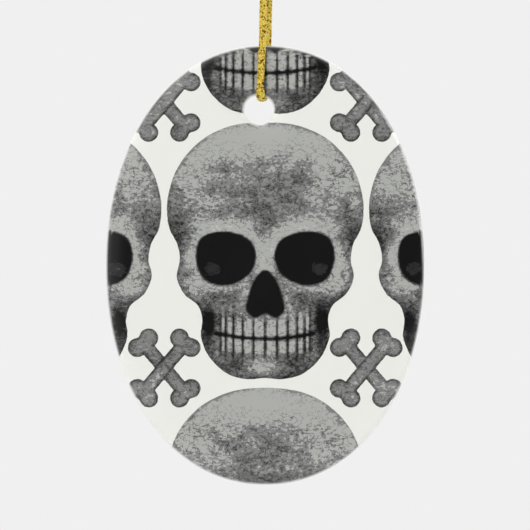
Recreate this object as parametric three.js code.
// Flat oval ceramic ornament on a thin metallic cord, hanging by its knotted loop. Sizes are in millimetres.
// +Z is up, +X is to the right, and the printed face looks along -Y. The origin is the hanging eye: the point
// just under the knot, between the two strands, where the wire of a hook rests.
import * as THREE from 'three';

// Ceramic plate: an upright oval whose sides are a little fuller than an ellipse's
const plateHeight = 76.2;
const plateWidth = 55.3;
const plateThickness = 3.2;
const plateEdgeRound = 1;
const ovalExponent = 2.1;
const ovalSides = 72;
const edgeSteps = 4;

// Round hole for the cord, near the top of the plate and a little left of its middle
const holeDiameter = 5;
const holeBelowTop = 11.15;
const holeLeftOfMiddle = 1.125;
const holeSides = 32;

// Cord, and the room it keeps to the glaze and to its own next stretch
const cordDiameter = 1.2;
const cordSides = 8;
const cordToPlate = 0.2;
const stretchGap = 0.3;
const strandStep = 2.4;
const bendStep = 0.6;
const knotStep = 0.45;

// Hanging eye: the hook's wire, with the back strand on one side of it and the front strand on the other
const hookWireDiameter = 1;
const plateBelowEye = 12.1;
const eyeRightOfMiddle = 0.2;
const backStrandAngle = THREE.MathUtils.degToRad(63);

// Where the cord's two legs stand, to the right of the hole's centre
const frontLegRightOfHole = 0.26;
const backLegRightOfHole = 0.85;

// The strands from the eye to the plate's top. Each row: down to the plate's top, out from the eye to the
// plate's faces, and sideways to the foot of the front leg and of the back leg
const strandShares = [
  [0.15, 0.14, 0.03, 0.03],
  [0.32, 0.36, 0.08, 0.07],
  [0.55, 0.68, 0.15, 0.13],
  [0.8, 0.95, 0.22, 0.18],
  [1, 1, 0.33, 0.25],
];

// The legs on the plate's faces. Each row: down to the leg's foot, and sideways as above
const legShares = [
  [0.33, 0.57, 0.48],
  [0.67, 0.8, 0.75],
];

// Overhand knot tied in both strands together, upright above the eye
const knotAboveEye = 4.3;
const knotLeftOfEye = 0.6;
const knotStartAngle = THREE.MathUtils.degToRad(330);
const pairApartShare = 0.54;

// Half of the knot, from the middle of its wrap up to the tails; the other half is the same, turned over.
// Each row: turns about the knot's axis, then the pair's radius and height in cord diameters
const knotShares = [
  [0, 2.12, 0],
  [0.12, 2.12, -0.22],
  [0.26, 2.12, -0.69],
  [0.35, 2.06, -0.97],
  [0.445, 1.85, -1.4],
  [0.5, 1.57, -1.61],
  [0.56, 1.29, -1.55],
  [0.62, 1.06, -1.22],
  [0.69, 0.93, -0.54],
  [0.75, 0.86, 0],
  [0.81, 0.9, 0.6],
  [0.86, 0.92, 1.2],
  [0.91, 0.92, 1.9],
  [0.95, 0.92, 2.7],
  [0.98, 0.92, 3.5],
];
const rowsAboveKnotOnly = 2;

// The two tails above the knot, each from its last point in the knot to its cut end
const frontTail = [
  [-0.42, -1.5, 10.1],
  [-1.15, -1.95, 12.2],
];
const backTail = [
  [0.92, -0.02, 10.4],
  [1.5, 0.3, 12.6],
];

const plateTop = -plateBelowEye;
const plateCentre = new THREE.Vector3(-eyeRightOfMiddle, 0, plateTop - plateHeight / 2);
const holeCentre = new THREE.Vector3(plateCentre.x - holeLeftOfMiddle, 0, plateTop - holeBelowTop);
const knotCentre = new THREE.Vector3(-knotLeftOfEye, 0, knotAboveEye);

// Distance of the cord's centre line from the plate's middle plane, and from the middle of the hook's wire
const legOut = plateThickness / 2 + cordToPlate + cordDiameter / 2;
const eyeOut = (hookWireDiameter + cordDiameter) / 2;

const front = -1;
const back = 1;

function glazedCeramic() {
  return new THREE.MeshStandardMaterial({ color: '#e8e9e4', roughness: 0.14, metalness: 0 });
}

function goldThread() {
  return new THREE.MeshStandardMaterial({ color: '#c4a74f', roughness: 0.42, metalness: 0.6 });
}

// Outline of the plate: |x/a|^n + |y/b|^n = 1
function ovalOutline() {
  const power = 2 / ovalExponent;
  const soften = (value) => Math.sign(value) * Math.abs(value) ** power;
  const points = [];
  for (let i = 0; i < ovalSides; i += 1) {
    const angle = (2 * Math.PI * i) / ovalSides;
    const x = (plateWidth / 2) * soften(Math.cos(angle));
    const y = (plateHeight / 2) * soften(Math.sin(angle));
    points.push(new THREE.Vector2(x, y));
  }
  return points;
}

// The plate, with its rim and the edge of its hole rounded alike on both faces
function ceramicPlate() {
  const outline = new THREE.Shape(ovalOutline());
  const hole = new THREE.Path();
  hole.absarc(-holeLeftOfMiddle, plateHeight / 2 - holeBelowTop, holeDiameter / 2, 0, 2 * Math.PI, true);
  outline.holes.push(hole);
  const flatDepth = plateThickness - 2 * plateEdgeRound;
  const geometry = new THREE.ExtrudeGeometry(outline, {
    depth: flatDepth,
    curveSegments: holeSides / 2,
    bevelSize: plateEdgeRound,
    bevelThickness: plateEdgeRound,
    bevelOffset: -plateEdgeRound,
    bevelSegments: edgeSteps,
  });
  geometry.translate(0, 0, -flatDepth / 2);
  const plate = new THREE.Mesh(geometry, glazedCeramic());
  plate.name = 'ceramic_plate';
  plate.rotation.x = Math.PI / 2;
  plate.position.copy(plateCentre);
  return plate;
}

// Where the cord's centre line lies as it bends round the hole's upper edge: angle is 0 inside the hole, at the
// start of the edge's rounding, and a quarter turn at the foot of the leg, where the cord runs straight up
function bendPoint(side, angle) {
  const bendRadius = plateEdgeRound + cordToPlate + cordDiameter / 2;
  const out = plateThickness / 2 - plateEdgeRound + bendRadius * Math.sin(angle);
  const fromHole = holeDiameter / 2 + plateEdgeRound - bendRadius * Math.cos(angle);
  const across = (1 + (side * out) / legOut) / 2;
  const right = THREE.MathUtils.lerp(frontLegRightOfHole, backLegRightOfHole, across);
  const up = Math.sqrt(fromHole ** 2 - right ** 2);
  return new THREE.Vector3(holeCentre.x + right, side * out, holeCentre.z + up);
}

function bightPoints() {
  const quarterSteps = 4;
  const points = [];
  for (let i = quarterSteps; i >= 0; i -= 1) {
    points.push(bendPoint(front, ((Math.PI / 2) * i) / quarterSteps));
  }
  for (let i = 0; i <= quarterSteps; i += 1) {
    points.push(bendPoint(back, ((Math.PI / 2) * i) / quarterSteps));
  }
  return points;
}

function eyePoint(side) {
  const x = side * eyeOut * Math.cos(backStrandAngle);
  const y = side * eyeOut * Math.sin(backStrandAngle);
  return new THREE.Vector3(x, y, 0);
}

// One strand from the eye down to the foot of its leg, both left out
function strandPoints(side) {
  const eye = eyePoint(side);
  const foot = bendPoint(side, Math.PI / 2);
  const column = side === front ? 0 : 1;
  const points = [];
  for (const [down, out, ...sideways] of strandShares) {
    const x = THREE.MathUtils.lerp(eye.x, foot.x, sideways[column]);
    points.push(new THREE.Vector3(x, THREE.MathUtils.lerp(eye.y, foot.y, out), plateTop * down));
  }
  for (const [down, ...sideways] of legShares) {
    const x = THREE.MathUtils.lerp(eye.x, foot.x, sideways[column]);
    points.push(new THREE.Vector3(x, foot.y, THREE.MathUtils.lerp(plateTop, foot.z, down)));
  }
  return points;
}

// Centre line of the pair of strands in the knot, about the knot's own axis, from below to above
function pairPoints() {
  const at = (turns, radius, height) => {
    const angle = knotStartAngle + 2 * Math.PI * turns;
    const point = new THREE.Vector3(radius * Math.cos(angle), radius * Math.sin(angle), height);
    return point.multiplyScalar(cordDiameter);
  };
  const below = knotShares.slice(1).reverse();
  return [
    ...below.map(([turns, radius, height]) => at(-turns, radius, -height)),
    ...knotShares.map(([turns, radius, height]) => at(turns, radius, height)),
  ];
}

// One strand in the knot: it keeps to its side of the pair, level with the knot's surface
function knotPoints(side) {
  const middle = pairPoints();
  const pair = new THREE.CatmullRomCurve3(middle);
  const points = middle.map((point, i) => {
    const outward = new THREE.Vector3(point.x, point.y, 0).normalize();
    const across = pair.getTangent(i / (middle.length - 1)).cross(outward).normalize();
    const moved = point.clone().addScaledVector(across, side * pairApartShare * cordDiameter);
    return moved.add(knotCentre);
  });
  return points.slice(rowsAboveKnotOnly);
}

function tailPoints(side) {
  const rows = side === front ? frontTail : backTail;
  return rows.map((row) => new THREE.Vector3(...row));
}

// The whole cord from the front strand's cut end, through the knot, down through the hole and up again to the
// back strand's cut end, with the places where one stretch ends and the next begins
function cordRoute() {
  const knotAndTail = [front, back].map((side) => [...knotPoints(side), ...tailPoints(side)]);
  const points = [
    ...knotAndTail[0].reverse(),
    eyePoint(front),
    ...strandPoints(front),
    ...bightPoints(),
    ...strandPoints(back).reverse(),
    eyePoint(back),
    ...knotAndTail[1],
  ];
  const frontEye = knotAndTail[0].length;
  const backEye = points.length - 1 - knotAndTail[1].length;
  const knotEndRow = 1;
  const strandEndRow = strandShares.length - 1;
  const cuts = [frontEye + knotEndRow, frontEye + strandEndRow, backEye - strandEndRow, backEye - knotEndRow];
  return { points, cuts };
}

// A stretch of a longer curve, between two lengths along it
class Stretch extends THREE.Curve {
  constructor(whole, start, end) {
    super();
    this.whole = whole;
    this.start = start;
    this.end = end;
  }

  getPoint(share, target = new THREE.Vector3()) {
    const along = THREE.MathUtils.lerp(this.start, this.end, share);
    return this.whole.getPointAt(along / this.whole.getLength(), target);
  }
}

function cordSection() {
  const points = [];
  for (let i = 0; i < cordSides; i += 1) {
    const angle = (2 * Math.PI * i) / cordSides;
    points.push(new THREE.Vector2(Math.cos(angle), Math.sin(angle)).multiplyScalar(cordDiameter / 2));
  }
  return new THREE.Shape(points);
}

function cordStretch(name, whole, start, end, step) {
  const geometry = new THREE.ExtrudeGeometry(cordSection(), {
    extrudePath: new Stretch(whole, start, end),
    steps: Math.round((end - start) / step),
  });
  const stretch = new THREE.Mesh(geometry, goldThread());
  stretch.name = name;
  return stretch;
}

function cordStretches() {
  const { points, cuts } = cordRoute();
  const whole = new THREE.CatmullRomCurve3(points);
  const divisionsPerPoint = 24;
  whole.arcLengthDivisions = divisionsPerPoint * (points.length - 1);
  const lengths = whole.getLengths();
  const [frontKnot, frontFoot, backFoot, backKnot] = cuts.map((i) => lengths[divisionsPerPoint * i]);
  const half = stretchGap / 2;
  return {
    hanger: [
      cordStretch('cord_knot_front', whole, 0, frontKnot - half, knotStep),
      cordStretch('cord_knot_back', whole, backKnot + half, whole.getLength(), knotStep),
    ],
    loop: [
      cordStretch('cord_front_strand', whole, frontKnot + half, frontFoot - half, strandStep),
      cordStretch('cord_bight', whole, frontFoot + half, backFoot - half, bendStep),
      cordStretch('cord_back_strand', whole, backFoot + half, backKnot - half, strandStep),
    ],
  };
}

// The knot stays on the hook, the loop below it turns with the plate, and the plate swings in the loop
function ornament() {
  const { hanger, loop } = cordStretches();
  const hangerGroup = new THREE.Group();
  const loopGroup = new THREE.Group();
  hangerGroup.add(...hanger, loopGroup);
  loopGroup.add(...loop, ceramicPlate());
  return hangerGroup;
}

const group = ornament();

export default group;
